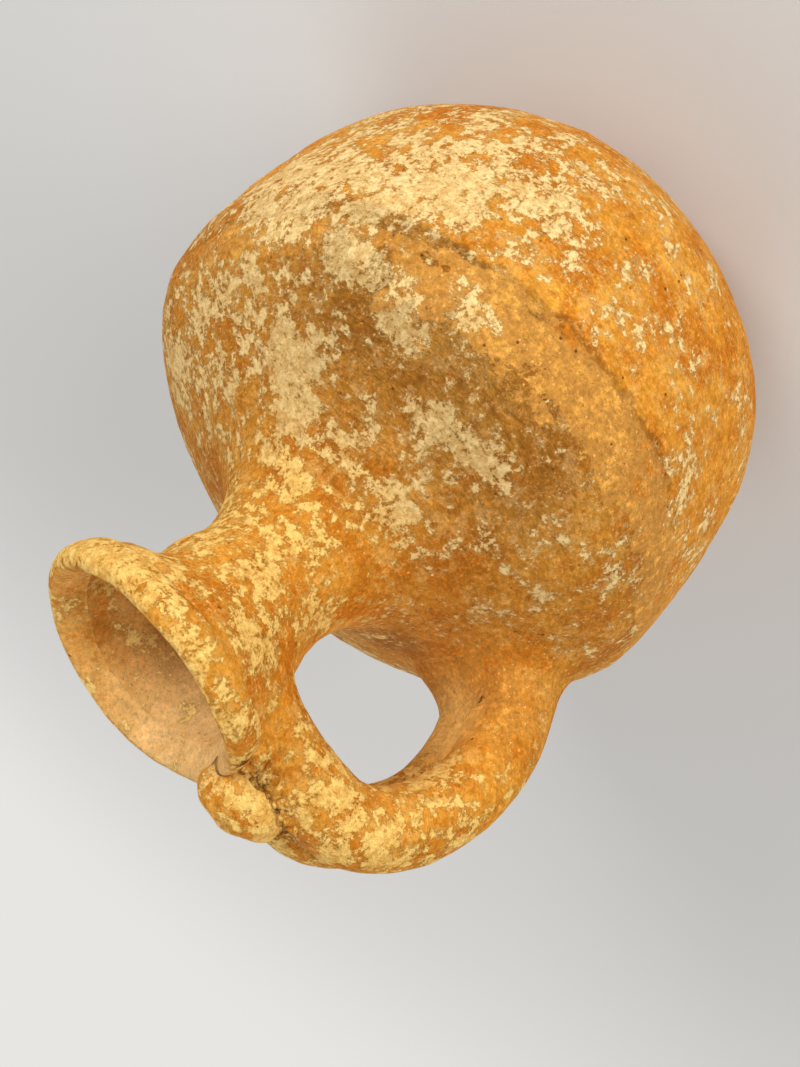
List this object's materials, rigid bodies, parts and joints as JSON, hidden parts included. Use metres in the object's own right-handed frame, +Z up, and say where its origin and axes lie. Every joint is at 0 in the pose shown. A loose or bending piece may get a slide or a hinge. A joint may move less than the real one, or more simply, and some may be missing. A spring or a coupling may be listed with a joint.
{
  "type": "terracotta jug",
  "caption": "Small hand-made terracotta jug: round body with a soft ridge, leaning flared neck with rolled rim, double-coil handle and a clay pellet at the rim, for pouring liquids.",
  "frame": {"origin": "centre of the flat base, on the surface the jug stands on", "axes": "+Z up along the body's axis, the handle towards -X in the XZ plane, +Y to the jug's other side"},
  "size_m": [0.1284, 0.1222, 0.1593],
  "materials": {
    "body_clay": "matt orange fired clay with pale lime-like crust and fine sand grain",
    "shoulder_clay": "matt brown-orange fired clay, rough, with broad cream crust patches",
    "neck_clay": "matt ochre fired clay under dense cream crust flakes",
    "handle_clay": "matt ochre fired clay with cream crust islands, smoothed by handling",
    "pellet_clay": "matt pale fired clay with brown worn patches",
    "luting_clay": "matt crumbly clay smeared over the joins"
  },
  "bodies": {
    "root": {"lower_body": "body_clay", "shoulder": "shoulder_clay", "neck": "neck_clay", "rim_band": "neck_clay", "handle_coil_near": "handle_clay", "handle_coil_far": "handle_clay", "pellet": "pellet_clay", "pellet_luting": "luting_clay", "neck_luting": "luting_clay", "root_luting": "luting_clay"}
  },
  "joints": []
}
